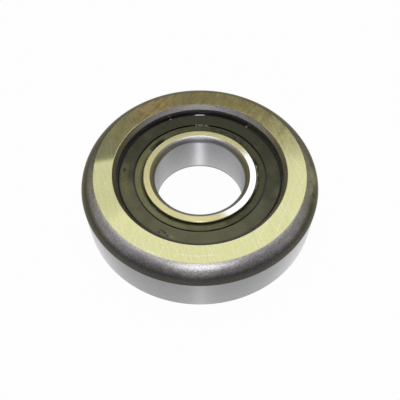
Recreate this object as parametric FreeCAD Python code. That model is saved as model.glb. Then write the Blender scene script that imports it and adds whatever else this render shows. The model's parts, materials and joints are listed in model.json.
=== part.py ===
"""Forklift mast roller: a sealed deep-groove ball bearing whose thick outer ring is the wheel.

The roller lies on its back faces. Z is the axis it turns about, and z = 0 is the plane of both
rings' back faces. The outer ring stands proud of the inner ring at the front, which is up.
The inner ring sits still on a stub shaft, and the outer ring rolls along a mast channel.
Lengths are in millimetres, angles in degrees.
"""

import FreeCAD, Part
import math
import os

from FreeCAD import Vector

# The two diameters that a roller is ordered by
bore_diameter = 45.0
roller_diameter = 118.0

# Balls and raceways
ball_diameter = 15.875
ball_count = 8
inner_wall_share = 0.26925      # of the steel between bore and tread, the inner ring's part
race_clearance = 0.02           # gap between a ball and each raceway
inner_groove_ease = 0.2425      # by how much the raceway's section radius exceeds the ball's
outer_groove_ease = 0.4725
inner_shoulder_height = 3.16    # from the bottom of the raceway to its shoulder
outer_shoulder_height = 3.22

# Cage: two pressed ribbons, riveted together between the balls
pocket_clearance = 0.1625       # gap between a ball and its pocket
cage_thickness = 1.4
cage_ring_gap = 0.8             # from the ribbon's edges to the shoulders of the rings
pocket_blend_radius = 0.8       # where a pocket rises out of the flat of the ribbon
rivet_shank_diameter = 2.4
rivet_head_diameter = 4.2
rivet_head_height = 1.0
rivet_hole_clearance = 0.03

# Seals: a rubber body moulded on a steel washer, snapped into the outer ring
seal_cage_gap = 0.4
seal_thickness = 2.0
seal_recess = 0.6               # from the inner ring's face down to the seal's outer surface
seal_seat_step = 0.4            # from the outer shoulder out to the mouth
seal_groove_depth = 1.2         # from the mouth out to the bottom of the seal's groove
seal_groove_height = 1.7
seal_bead_clearance = 0.1       # between the bead and the walls of its groove
seal_rim_inset = 1.2            # from the mouth in to the flat of the seal
seal_rim_foot = 0.3             # from the mouth in to the foot of the rim's slope
seal_lip_gap = 0.1              # running gap between the lip and its land
lip_tip_height = 0.5
lip_tip_lift = 0.3              # underside of the lip above the washer's underside
lip_slope_width = 1.45
lip_flat_width = 2.6            # flat of the lip, between its slope and the flex groove
lip_flat_drop = 0.25            # the lip's flat lies this much lower than the seal's
flex_groove_width = 0.75
flex_groove_depth = 0.95
washer_thickness = 0.55
washer_lip_inset = 2.6          # from the land out to the washer's inner edge
washer_bead_inset = 0.6         # from the bead in to the washer's outer edge

# Inner ring
bore_corner_width = 2.46        # the ring's corner, from the bore out to the flat face
bore_corner_depth = 3.17        # and from the face down to the bore's wall
seal_land_step = 3.0225         # from the inner shoulder in to the land that the lip runs on
seal_land_depth = 3.4           # from the face down to the step
land_edge_chamfer = 0.3
shoulder_chamfer = 0.3

# Outer ring
front_overhang = 4.5            # how far the outer ring stands proud of the inner one
corner_inset = 6.89             # from the tread in to the edge of the front face
corner_drop = 8.05              # from the front face down to the tread
corner_radius = 11.3
mouth_chamfer_width = 1.73
mouth_chamfer_depth = 2.18
back_edge_chamfer = 1.0
back_mouth_chamfer = 0.5

# Radii that follow from the driving sizes
bore_radius = bore_diameter / 2
roller_radius = roller_diameter / 2
ball_radius = ball_diameter / 2
wall_space = roller_radius - bore_radius - ball_diameter - 2 * race_clearance
inner_race_radius = bore_radius + wall_space * inner_wall_share
pitch_radius = inner_race_radius + race_clearance + ball_radius
outer_race_radius = pitch_radius + ball_radius + race_clearance
inner_groove_radius = ball_radius + inner_groove_ease
outer_groove_radius = ball_radius + outer_groove_ease
inner_shoulder_radius = inner_race_radius + inner_shoulder_height
outer_shoulder_radius = outer_race_radius - outer_shoulder_height
seal_land_radius = inner_shoulder_radius - seal_land_step
mouth_radius = outer_shoulder_radius + seal_seat_step
seal_groove_radius = mouth_radius + seal_groove_depth

# Heights that follow from the driving sizes
pocket_radius = ball_radius + pocket_clearance
pocket_outer_radius = pocket_radius + cage_thickness
seal_seat_offset = pocket_outer_radius + seal_cage_gap  # from the mid-plane of the balls
inner_ring_width = 2 * (seal_seat_offset + seal_thickness + seal_recess)
mid_height = inner_ring_width / 2
roller_width = inner_ring_width + front_overhang

AXIS_POINT = Vector(0, 0, 0)
AXIS = Vector(0, 0, 1)


class Section:
    """Half of a turned part's section: a closed outline of (radius, height) points about the Z axis."""

    def __init__(self, radius, height):
        self.start = Vector(radius, 0, height)
        self.here = self.start
        self.edges = []

    def line(self, radius, height):
        end = Vector(radius, 0, height)
        self.edges.append(Part.LineSegment(self.here, end).toShape())
        self.here = end
        return self

    def arc(self, through, radius, height):
        """An arc by way of the point through."""
        end = Vector(radius, 0, height)
        middle = Vector(through[0], 0, through[1])
        self.edges.append(Part.Arc(self.here, middle, end).toShape())
        self.here = end
        return self

    def bulge(self, arc_radius, radius, height):
        """An arc of arc_radius that bulges to the left of the way it runs."""
        end = Vector(radius, 0, height)
        chord = end - self.here
        half = chord.Length / 2
        rise = arc_radius - math.sqrt(arc_radius**2 - half**2)
        left = Vector(-chord.z, 0, chord.x).normalize()
        middle = self.here + chord * 0.5 + left * rise
        return self.arc((middle.x, middle.z), radius, height)

    def turned(self):
        """The solid of revolution."""
        if not self.here.isEqual(self.start, 1e-6):
            self.line(self.start.x, self.start.z)
        face = Part.Face(Part.Wire(self.edges))
        return face.revolve(AXIS_POINT, AXIS, 360)


def race_half_width(groove_radius, shoulder_height):
    """Half the width of a raceway where it meets its shoulders."""
    return math.sqrt(groove_radius**2 - (groove_radius - shoulder_height) ** 2)


def other_side(shape):
    """The same part on the back of the bearing."""
    return shape.mirror(Vector(0, 0, mid_height), AXIS)


def around(shape, count, first_angle):
    """Copies of a shape, spaced evenly about the axis."""
    copies = []
    for index in range(count):
        copy = shape.copy()
        copy.rotate(AXIS_POINT, AXIS, first_angle + 360 * index / count)
        copies.append(copy)
    return copies


def make_inner_ring():
    width = inner_ring_width
    race_half = race_half_width(inner_groove_radius, inner_shoulder_height)
    face_inner = bore_radius + bore_corner_width
    land_edge = seal_land_radius - land_edge_chamfer
    step_edge = inner_shoulder_radius - shoulder_chamfer
    # A corner's arc leaves the bore tangent to it.
    corner_arc = (bore_corner_width**2 + bore_corner_depth**2) / (2 * bore_corner_width)
    ring = Section(bore_radius, bore_corner_depth)
    ring.line(bore_radius, width - bore_corner_depth)
    ring.bulge(corner_arc, face_inner, width)
    ring.line(land_edge, width)
    ring.line(seal_land_radius, width - land_edge_chamfer)
    ring.line(seal_land_radius, width - seal_land_depth)
    ring.line(step_edge, width - seal_land_depth)
    ring.line(inner_shoulder_radius, width - seal_land_depth - shoulder_chamfer)
    ring.line(inner_shoulder_radius, mid_height + race_half)
    ring.arc((inner_race_radius, mid_height), inner_shoulder_radius, mid_height - race_half)
    ring.line(inner_shoulder_radius, seal_land_depth + shoulder_chamfer)
    ring.line(step_edge, seal_land_depth)
    ring.line(seal_land_radius, seal_land_depth)
    ring.line(seal_land_radius, land_edge_chamfer)
    ring.line(land_edge, 0)
    ring.line(face_inner, 0)
    ring.bulge(corner_arc, bore_radius, bore_corner_depth)
    return ring.turned()


def make_outer_ring():
    race_half = race_half_width(outer_groove_radius, outer_shoulder_height)
    front_seat = mid_height + seal_seat_offset
    back_seat = mid_height - seal_seat_offset
    front_lip = front_seat + seal_groove_height
    back_lip = back_seat - seal_groove_height
    ring = Section(mouth_radius + mouth_chamfer_width, roller_width)
    ring.line(roller_radius - corner_inset, roller_width)
    ring.bulge(corner_radius, roller_radius, roller_width - corner_drop)
    ring.line(roller_radius, back_edge_chamfer)
    ring.line(roller_radius - back_edge_chamfer, 0)
    ring.line(mouth_radius + back_mouth_chamfer, 0)
    ring.line(mouth_radius, back_mouth_chamfer)
    ring.line(mouth_radius, back_lip)
    ring.line(seal_groove_radius, back_lip)
    ring.line(seal_groove_radius, back_seat)
    ring.line(outer_shoulder_radius, back_seat)
    ring.line(outer_shoulder_radius, mid_height - race_half)
    ring.arc((outer_race_radius, mid_height), outer_shoulder_radius, mid_height + race_half)
    ring.line(outer_shoulder_radius, front_seat)
    ring.line(seal_groove_radius, front_seat)
    ring.line(seal_groove_radius, front_lip)
    ring.line(mouth_radius, front_lip)
    ring.line(mouth_radius, roller_width - mouth_chamfer_depth)
    return ring.turned()


def make_seal_washer():
    """The front seal's steel washer, which lies flat on the seat in the outer ring."""
    seat = mid_height + seal_seat_offset
    inner_edge = seal_land_radius + washer_lip_inset
    outer_edge = seal_groove_radius - seal_bead_clearance - washer_bead_inset
    washer = Section(inner_edge, seat)
    washer.line(outer_edge, seat)
    washer.line(outer_edge, seat + washer_thickness)
    washer.line(inner_edge, seat + washer_thickness)
    return washer.turned()


def make_seal_rubber():
    """The front seal's rubber, from the bead in its groove to the lip on the inner ring's land."""
    seat = mid_height + seal_seat_offset
    top = seat + seal_thickness
    washer_inner = seal_land_radius + washer_lip_inset
    bead_radius = seal_groove_radius - seal_bead_clearance
    washer_outer = bead_radius - washer_bead_inset
    bead_top = seat + seal_groove_height - seal_bead_clearance
    rim_radius = mouth_radius - seal_rim_inset
    lip_top = top - lip_flat_drop
    lip_radius = seal_land_radius + seal_lip_gap
    tip_bottom = seat + lip_tip_lift
    slope_foot = tip_bottom + lip_tip_height
    flat_inner = lip_radius + lip_slope_width
    flat_outer = flat_inner + lip_flat_width
    groove_bottom = top - flex_groove_depth
    groove_outer = flat_outer + flex_groove_width
    rubber = Section(washer_inner, seat)
    rubber.line(washer_inner, seat + washer_thickness)
    rubber.line(washer_outer, seat + washer_thickness)
    rubber.line(washer_outer, seat)
    rubber.line(bead_radius, seat)
    rubber.line(bead_radius, bead_top)
    rubber.line(mouth_radius - seal_rim_foot, bead_top)
    rubber.line(rim_radius, top)
    rubber.line(groove_outer, top)
    rubber.line(groove_outer, groove_bottom)
    rubber.line(flat_outer, groove_bottom)
    rubber.line(flat_outer, lip_top)
    rubber.line(flat_inner, lip_top)
    rubber.line(lip_radius, slope_foot)
    rubber.line(lip_radius, tip_bottom)
    return rubber.turned()


def make_ball():
    return Part.makeSphere(ball_radius, Vector(pitch_radius, 0, mid_height))


def make_pocket():
    """The outside of one pressed pocket: a dome over the ball that flares out into the flat."""
    blend_height = cage_thickness + pocket_blend_radius
    blend_reach = pocket_outer_radius + pocket_blend_radius
    # The blend's centre, and the points where it meets the flat and the dome.
    foot = math.sqrt(blend_reach**2 - blend_height**2)
    share = pocket_outer_radius / blend_reach
    shoulder = (foot * share, blend_height * share)
    middle_angle = (math.atan2(shoulder[1] - blend_height, shoulder[0] - foot) - math.pi / 2) / 2
    middle = (
        foot + pocket_blend_radius * math.cos(middle_angle),
        blend_height + pocket_blend_radius * math.sin(middle_angle),
    )
    dome_angle = (math.atan2(shoulder[1], shoulder[0]) + math.pi / 2) / 2
    dome_middle = (
        pocket_outer_radius * math.cos(dome_angle),
        pocket_outer_radius * math.sin(dome_angle),
    )
    pocket = Section(0, mid_height)
    pocket.line(foot, mid_height)
    pocket.line(foot, mid_height + cage_thickness)
    pocket.arc((middle[0], mid_height + middle[1]), shoulder[0], mid_height + shoulder[1])
    pocket.arc((dome_middle[0], mid_height + dome_middle[1]), 0, mid_height + pocket_outer_radius)
    solid = pocket.turned()
    solid.translate(Vector(pitch_radius, 0, 0))
    return solid


def make_cage_ring(height):
    """A plain ring as wide as the cage, on the mid-plane of the balls."""
    base = Vector(0, 0, mid_height)
    inner_edge = inner_shoulder_radius + cage_ring_gap
    outer_edge = outer_shoulder_radius - cage_ring_gap
    outside = Part.makeCylinder(outer_edge, height, base)
    return outside.cut(Part.makeCylinder(inner_edge, height, base))


def make_cage_half():
    """The front ribbon: flat between the balls, and pressed over each ball along a sphere."""
    band = make_cage_ring(pocket_outer_radius + cage_thickness)
    pocket = make_pocket().common(band)
    ribbon = make_cage_ring(cage_thickness).fuse(around(pocket, ball_count, 0)).removeSplitter()
    hollow = Part.makeSphere(pocket_radius, Vector(pitch_radius, 0, mid_height))
    hole = Part.makeCylinder(
        rivet_shank_diameter / 2 + rivet_hole_clearance,
        cage_thickness,
        Vector(pitch_radius, 0, mid_height),
    )
    ribbon = ribbon.cut(around(hollow, ball_count, 0))
    return ribbon.cut(around(hole, ball_count, 180 / ball_count))


def make_rivet():
    """A rivet through both ribbons, with a domed head on each."""
    head_radius = rivet_head_diameter / 2
    shank_radius = rivet_shank_diameter / 2
    seat = cage_thickness
    crown = seat + rivet_head_height
    dome = (head_radius**2 + rivet_head_height**2) / (2 * rivet_head_height)
    rivet = Section(0, mid_height - crown)
    rivet.line(0, mid_height + crown)
    rivet.bulge(dome, head_radius, mid_height + seat)
    rivet.line(shank_radius, mid_height + seat)
    rivet.line(shank_radius, mid_height - seat)
    rivet.line(head_radius, mid_height - seat)
    rivet.bulge(dome, 0, mid_height - crown)
    solid = rivet.turned()
    solid.translate(Vector(pitch_radius, 0, 0))
    return solid


def build():
    """Every piece of the roller, by node name."""
    parts = {
        "inner_ring": make_inner_ring(),
        "outer_ring": make_outer_ring(),
        "front_seal": make_seal_rubber(),
        "front_seal_washer": make_seal_washer(),
        "back_seal": other_side(make_seal_rubber()),
        "back_seal_washer": other_side(make_seal_washer()),
        "cage_front": make_cage_half(),
        "cage_back": other_side(make_cage_half()),
    }
    for number, ball in enumerate(around(make_ball(), ball_count, 0), start=1):
        parts[f"ball_{number}"] = ball
    rivets = around(make_rivet(), ball_count, 180 / ball_count)
    for number, rivet in enumerate(rivets, start=1):
        parts[f"cage_rivet_{number}"] = rivet
    return parts


def solid_of(shape):
    """The shape as one solid, with its faces turned outwards."""
    solid = shape.Solids[0] if shape.Solids else Part.Solid(shape)
    if solid.Volume < 0:
        solid.reverse()
    return solid


os.makedirs("parts", exist_ok=True)
for name, shape in build().items():
    solid = solid_of(shape)
    solid.exportStep(f"parts/{name}.step")
    print(f"{name}: {solid.Volume:.1f} mm3, valid {solid.isValid()}")
print(f"roller {roller_diameter} x {roller_width:.3f}, bore {bore_diameter} x {inner_ring_width:.3f}")
print(f"pitch {2 * pitch_radius:.3f}, mouth {mouth_radius:.3f}, shoulder {inner_shoulder_radius:.3f}")
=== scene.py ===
"""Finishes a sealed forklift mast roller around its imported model, on a plain studio floor.

The two rings and the two seals are turned again as fine surfaces with eased edges, in the place
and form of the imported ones. The balls, cage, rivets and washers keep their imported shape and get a
finish. Thin rings of oil and grease are added on the front seal.
Lengths are in metres. Z is the roller's axis, and its back faces lie at z = 0.
"""

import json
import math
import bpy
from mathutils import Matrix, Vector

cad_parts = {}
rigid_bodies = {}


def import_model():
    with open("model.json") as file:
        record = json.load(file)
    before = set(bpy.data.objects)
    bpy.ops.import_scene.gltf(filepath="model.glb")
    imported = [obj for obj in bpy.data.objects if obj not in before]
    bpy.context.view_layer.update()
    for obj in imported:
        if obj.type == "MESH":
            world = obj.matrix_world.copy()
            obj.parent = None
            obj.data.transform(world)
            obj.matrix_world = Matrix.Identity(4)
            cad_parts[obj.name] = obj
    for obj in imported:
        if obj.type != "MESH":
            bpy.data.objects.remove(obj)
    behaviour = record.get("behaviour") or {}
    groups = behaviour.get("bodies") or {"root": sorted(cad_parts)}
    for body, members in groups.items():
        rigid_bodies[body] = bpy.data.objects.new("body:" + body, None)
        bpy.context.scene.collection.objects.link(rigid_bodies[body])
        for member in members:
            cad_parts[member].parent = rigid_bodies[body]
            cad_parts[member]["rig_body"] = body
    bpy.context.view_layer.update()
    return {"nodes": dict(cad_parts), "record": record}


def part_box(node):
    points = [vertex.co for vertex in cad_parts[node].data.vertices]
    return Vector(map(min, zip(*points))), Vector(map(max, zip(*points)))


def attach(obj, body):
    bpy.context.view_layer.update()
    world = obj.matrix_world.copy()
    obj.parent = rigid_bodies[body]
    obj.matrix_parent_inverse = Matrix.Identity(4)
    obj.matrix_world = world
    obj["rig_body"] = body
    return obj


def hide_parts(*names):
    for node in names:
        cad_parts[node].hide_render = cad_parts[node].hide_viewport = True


bl_info = {
    "name": "Forklift mast roller",
    "version": (1, 0, 0),
    "blender": (4, 5, 0),
    "location": "3D View > Sidebar > Roller",
    "description": "Finishes a sealed mast roller in ground, scaled and moulded surfaces",
    "category": "Object",
}

import bpy
import numpy as np
from bpy.props import FloatProperty, FloatVectorProperty, IntProperty, PointerProperty
from mathutils import Matrix, Vector

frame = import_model()

MM = 0.001


def mount_radius(name):
    """The radius of one of the record's round mounts, in metres."""
    mounts = {mount["name"]: mount["dims"] for mount in frame["record"]["mounts"]}
    return mounts[name]["r_mm"] * MM


def linear(red, green, blue):
    """A colour as the shader takes it, from its 0 to 255 screen values."""
    shares = np.array([red, green, blue]) / 255
    return tuple(np.where(shares <= 0.04045, shares / 12.92, ((shares + 0.055) / 1.055) ** 2.4))


RING_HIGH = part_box("outer_ring")[1]
HUB_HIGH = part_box("inner_ring")[1]
SEAL_LOW, SEAL_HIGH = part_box("front_seal")
WASHER_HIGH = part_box("front_seal_washer")[1]
BALL_LOW, BALL_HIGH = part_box("ball_1")
PITCH_RADIUS = (BALL_LOW.x + BALL_HIGH.x) / 2
BALL_RADIUS = (BALL_HIGH.z - BALL_LOW.z) / 2
# How an eased corner is drawn: the steps along it, and the most of either run that it takes.
EASE_STEPS = 4
EASE_SHARE = 0.45


def number(name, description, default, **more):
    """A property that holds a number."""
    return FloatProperty(name=name, description=description, default=default, **more)


def length(name, description, default):
    """A property that holds a length."""
    return number(name, description, default, unit="LENGTH", precision=5)


def colour(name, description, screen):
    """A property that holds a colour, from its 0 to 255 screen values."""
    return FloatVectorProperty(
        name=name, description=description, default=linear(*screen), subtype="COLOR", min=0, max=1
    )


class RollerSizes(bpy.types.PropertyGroup):
    """Sizes of the turned and moulded sections."""

    roller_radius: length("Roller radius", "Radius of the tread", RING_HIGH.x)
    roller_width: length("Roller width", "Width of the outer ring", RING_HIGH.z)
    hub_width: length("Hub width", "Width of the inner ring", HUB_HIGH.z)
    bore_radius: length("Bore radius", "Radius of the bore's wall", mount_radius("bore"))
    shoulder_radius: length("Inner shoulder", "Radius beside the inner raceway", HUB_HIGH.x)
    pitch_radius: length("Pitch radius", "Radius of the circle of balls", PITCH_RADIUS)
    ball_radius: length("Ball radius", "Radius of a ball", BALL_RADIUS)
    race_clearance: length("Race clearance", "Gap between a ball and a raceway", 0.02 * MM)
    inner_groove: length("Inner groove", "Section radius of the inner raceway", 8.18 * MM)
    outer_groove: length("Outer groove", "Section radius of the outer raceway", 8.41 * MM)
    outer_shoulder: length("Outer shoulder", "Height of the outer raceway's shoulder", 3.22 * MM)
    corner_inset: length("Corner inset", "From the tread in to the front face", 6.89 * MM)
    corner_drop: length("Corner drop", "From the front face down to the tread", 8.05 * MM)
    corner_radius: length("Corner radius", "Radius of the large corner", 11.3 * MM)
    mouth_step: length("Mouth step", "From the outer shoulder out to the mouth", 0.4 * MM)
    mouth_chamfer_width: length("Mouth chamfer width", "Width of the front chamfer", 1.73 * MM)
    mouth_chamfer_depth: length("Mouth chamfer depth", "Depth of the front chamfer", 2.18 * MM)
    back_edge: length("Back edge", "Chamfer between the tread and the back face", 1.0 * MM)
    back_mouth: length("Back mouth", "Chamfer of the back mouth", 0.5 * MM)
    seal_groove_depth: length("Seal groove depth", "From the mouth out to the groove", 1.2 * MM)
    seal_groove_height: length("Seal groove height", "Height of the seal's groove", 1.7 * MM)
    lip_slope: length("Lip slope", "Width of the lip's slope", 1.45 * MM)
    lip_flat: length("Lip flat", "From the lip's slope out to the flex groove", 2.6 * MM)
    lip_drop: length("Lip drop", "The lip's flat lies this much under the seal's", 0.25 * MM)
    flex_width: length("Flex groove width", "Width of the seal's flex groove", 0.75 * MM)
    flex_depth: length("Flex groove depth", "Depth of the seal's flex groove", 0.95 * MM)
    seal_gap: length("Seal gap", "Gap between the seal and the steel beside it", 0.1 * MM)
    corner_width: length("Bore corner width", "Width of the bore's corner", 2.46 * MM)
    corner_depth: length("Bore corner depth", "Depth of the bore's corner", 3.17 * MM)
    land_wall: length("Land wall", "From the bore out to the seal's land", 5.68 * MM)
    land_depth: length("Land depth", "From the face down to the step", 3.4 * MM)
    land_edge: length("Land edge", "Chamfer at the land's edge", 0.3 * MM)
    worn_width: length("Worn edge", "Width of the bright line along an edge of the face", 0.14 * MM)
    border_width: length("Tread border", "Width of the rubbed line above the tread", 0.2 * MM)
    edge_ease: length("Edge ease", "Round left on a ground or turned edge", 0.16 * MM)
    rubber_ease: length("Rubber ease", "Round on a moulded edge", 0.14 * MM)
    facets: IntProperty(name="Facets", description="Steps around the axis", default=360, min=48)


class RollerFinish(bpy.types.PropertyGroup):
    """Colours of the roller's finishes."""

    # The faces' pale yellow is partly an oil film and partly painted light: the warm tint of a light
    # from above.
    face: colour("Ground face", "Oiled ground steel of the front face", (220, 219, 165))
    # The stained face is laid over the back half of the face: partly old oil, partly a painted
    # reflection.
    face_stain: colour("Stained face", "Ground steel under old oil", (214, 200, 138))
    face_ruddy: colour("Ruddy face", "Ground steel with a trace of rust", (244, 196, 140))
    rubbed: colour("Rubbed face", "Marks rubbed bright on the face", (240, 240, 216))
    # Painted shade: a warm darkening laid on the sides of the steel.
    aged: colour("Aged steel", "Tint that old oil gives to the sides", (216, 209, 162))
    # A painted highlight: the bright line on the bore's corner at the back.
    rubbed_corner: colour("Rubbed corner", "The bore's corner, rubbed bright", (226, 226, 228))
    edge: colour("Worn edge", "Edges of the ground face, rubbed bright", (232, 228, 170))
    border: colour("Tread border", "Rubbed line between the corner and the tread", (158, 146, 126))
    scale: colour("Hardened corner", "Dark scale left on the corner", (74, 72, 68))
    # The pale corner colour stands partly for wear and partly for a painted highlight.
    worn_scale: colour("Worn corner", "The corner beside the face", (193, 190, 192))
    tread: colour("Ground tread", "Ground steel of the tread", (167, 167, 168))
    bore: colour("Ground bore", "Ground steel of the bore", (224, 224, 226))
    turned: colour("Turned chamfer", "Turned steel of the chamfers", (142, 140, 142))
    # The hub face's yellow is likewise partly an oil film and partly the painted warm tint of a light
    # from above.
    hub_face: colour("Hub face", "Oiled ground steel of the inner ring's face", (224, 216, 162))
    # A painted highlight: the near white laid along one side of the hub's face.
    hub_bright: colour("Wiped hub face", "The face where oil is wiped off", (252, 252, 249))
    # The seal's olive is partly the rubber's own colour and partly the painted warm tint of a light
    # from above.
    rubber: colour("Seal rubber", "Moulded nitrile rubber", (66, 66, 30))
    lip: colour("Seal lip", "Rubber of the lip, polished by oil", (84, 84, 40))
    grease: colour("Grease", "Grease pressed out at the lip", (160, 160, 118))


class Outline:
    """Half of a turned piece's section, as a closed run of corners with a finish for each stretch.

    A point is (radius, height). An eased corner is a parabola whose control point is the corner
    itself and whose ends lie its ease along the two runs, so it leaves both of them tangent.
    """

    def __init__(self, radius, height, ease):
        self.corners = [(radius, height)]
        self.eases = [ease]
        self.finishes = []

    def line(self, radius, height, finish, ease=None):
        """A straight stretch to a corner."""
        self.corners.append((radius, height))
        self.eases.append(self.eases[0] if ease is None else ease)
        self.finishes.append(finish)
        return self

    def run(self, finish, *corners):
        """Straight stretches from corner to corner, all of one finish."""
        for corner in corners:
            self.line(*corner, finish)
        return self

    def arc(self, arc_radius, radius, height, finish, steps, ease=None):
        """An arc to a corner, bulging to the left: centre plus radius times (cos, sin)."""
        start = np.array(self.corners[-1])
        end = np.array((radius, height))
        chord = end - start
        half = np.linalg.norm(chord) / 2
        left = np.array((-chord[1], chord[0])) / (2 * half)
        centre = (start + end) / 2 - left * math.sqrt(arc_radius**2 - half**2)
        first = math.atan2(*(start - centre)[::-1])
        sweep = -2 * math.asin(half / arc_radius)
        for step in range(1, steps):
            angle = first + sweep * step / steps
            point = centre + arc_radius * np.array((math.cos(angle), math.sin(angle)))
            self.line(*point, finish, 0.0)
        return self.line(radius, height, finish, ease)

    def close(self, finish):
        """A straight stretch back to the first corner."""
        self.finishes.append(finish)
        return self

    def eased(self):
        """Points, their normals and the finish of the stretch after each, running clockwise."""
        corners = np.array(self.corners)
        eases = np.array(self.eases)
        finishes = list(self.finishes)
        after = np.roll(corners, -1, axis=0)
        area = np.sum(corners[:, 0] * after[:, 1] - after[:, 0] * corners[:, 1]) / 2
        if area > 0:
            corners, eases = corners[::-1], eases[::-1]
            finishes = finishes[-2::-1] + finishes[-1:]
        along = np.roll(corners, -1, axis=0) - corners
        spans = np.linalg.norm(along, axis=1)
        along /= spans[:, None]
        points, tangents, names = [], [], []
        for index, corner in enumerate(corners):
            before, ahead = along[index - 1], along[index]
            reach = min(eases[index], EASE_SHARE * spans[index - 1], EASE_SHARE * spans[index])
            if reach <= 0:
                points.append(corner)
                tangents.append(before + ahead)
                names.append(finishes[index])
                continue
            for share in np.linspace(0, 1, EASE_STEPS + 1):
                inward = (1 - share) ** 2 * before
                points.append(corner + reach * (share**2 * ahead - inward))
                tangents.append((1 - share) * before + share * ahead)
                names.append(finishes[index] if share >= 0.5 else finishes[index - 1])
        tangents = np.array(tangents)
        tangents /= np.linalg.norm(tangents, axis=1)[:, None]
        normals = np.stack((-tangents[:, 1], tangents[:, 0]), axis=1)
        return np.array(points), normals, names


def turned(name, outline, facets, warp=None):
    """Turns an outline about the Z axis: (r, z) becomes (r cos a, r sin a, z) for each angle a.

    warp, if given, takes the angles and the grids of radius and height, and returns new grids.
    """
    points, normals, names = outline.eased()
    angles = np.linspace(0, 2 * np.pi, facets, endpoint=False)[:, None]

    def spun(radius, height):
        return np.stack((radius * np.cos(angles), radius * np.sin(angles), height), axis=2)

    radius, height, across, up = (
        np.repeat(each[None, :], facets, axis=0) for each in (*points.T, *normals.T)
    )
    if warp:
        radius, height = warp(angles, radius, height)
    grid, out = spun(radius, height), spun(across, up)
    used = list(dict.fromkeys(names))
    slots = np.tile([used.index(n) for n in names], facets)
    faces = wrapped_faces(facets, len(points))
    piece = surface(name, grid.reshape(-1, 3), faces, [FINISHES[n]() for n in used], slots)
    piece.data.normals_split_custom_set_from_vertices(out.reshape(-1, 3).tolist())
    return piece


def wrapped_faces(rows, columns):
    """The four-sided faces of a grid that closes on itself both ways."""
    row, column = np.meshgrid(np.arange(rows), np.arange(columns), indexing="ij")
    next_row, next_column = (row + 1) % rows, (column + 1) % columns
    corners = (
        row * columns + column,
        row * columns + next_column,
        next_row * columns + next_column,
        next_row * columns + column,
    )
    return np.stack(corners, axis=2).reshape(-1, 4)


def surface(name, vertices, faces, materials, slots=None):
    """A smooth mesh object of four-sided faces, with its place in its mesh."""
    mesh = bpy.data.meshes.new(name)
    mesh.vertices.add(len(vertices))
    mesh.vertices.foreach_set("co", vertices.astype(np.float32).ravel())
    mesh.loops.add(faces.size)
    mesh.loops.foreach_set("vertex_index", faces.astype(np.int32).ravel())
    mesh.polygons.add(len(faces))
    mesh.polygons.foreach_set("loop_start", np.arange(0, faces.size, 4, dtype=np.int32))
    mesh.polygons.foreach_set("use_smooth", np.ones(len(faces), dtype=bool))
    for material in materials:
        mesh.materials.append(material)
    if slots is not None:
        mesh.polygons.foreach_set("material_index", np.asarray(slots, dtype=np.int32))
    mesh.update(calc_edges=True)
    if mesh.validate():
        raise RuntimeError(f"the mesh of {name} isn't sound")
    return linked(name, mesh)


def linked(name, data):
    """A new object in the scene."""
    made = bpy.data.objects.new(name, data)
    bpy.context.scene.collection.objects.link(made)
    return made


def two_valued(operation):
    """A method that joins a wire and another value by an operation."""
    return lambda wire, other: wire.maths(operation, other)


class Wire:
    """A socket in a node tree, so that maths on values is written as an expression."""

    __add__ = __radd__ = two_valued("ADD")
    __mul__ = __rmul__ = two_valued("MULTIPLY")
    __sub__ = two_valued("SUBTRACT")
    __truediv__ = two_valued("DIVIDE")

    def __init__(self, owner, socket):
        self.owner = owner
        self.socket = socket

    def maths(self, operation, *others, clamp=False):
        settings = {"operation": operation, "use_clamp": clamp}
        return self.owner.node("ShaderNodeMath", settings, [self, *others])

    def __rsub__(self, other):
        return self.owner.node("ShaderNodeMath", {"operation": "SUBTRACT"}, [other, self])

    def clamped(self):
        return self.maths("ADD", 0.0, clamp=True)

    def swing(self, amount):
        """How far the value lies above a half, times an amount."""
        return (self - 0.5) * amount

    def between(self, low, high):
        """0 below low, 1 above high, and a smooth rise between them."""
        settings = {"interpolation_type": "SMOOTHSTEP"}
        return self.owner.node("ShaderNodeMapRange", settings, [self, low, high, 0.0, 1.0])


class Tree:
    """A node tree, with one method that makes any node."""

    def __init__(self, tree):
        self.tree = tree

    def node(self, kind, settings=None, inputs=(), output=0):
        """Adds a node, applies its settings and then its sockets, given by order or by name."""
        made = self.tree.nodes.new(kind)
        for key, value in (settings or {}).items():
            setattr(made, key, value)
        pairs = inputs.items() if isinstance(inputs, dict) else enumerate(inputs)
        for key, value in pairs:
            self.feed(made.inputs[key], value)
        return Wire(self, made.outputs[output])

    def feed(self, socket, value):
        """Links a wire or sets a value. A name stands for one of the panel's colours."""
        if isinstance(value, str):
            value = tuple(getattr(bpy.context.scene.roller_finish, value))
        if isinstance(value, Wire):
            self.tree.links.new(value.socket, socket)
        elif socket.type == "RGBA":
            socket.default_value = (*value[:3], 1.0)
        else:
            socket.default_value = value

    def mixed_shader(self, share, first, second):
        return self.node("ShaderNodeMixShader", inputs=[share, first, second])

    def show(self, name, shader):
        """Feeds a shader to the output node of that name."""
        self.feed(self.tree.nodes[name].inputs["Surface"], shader)


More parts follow.
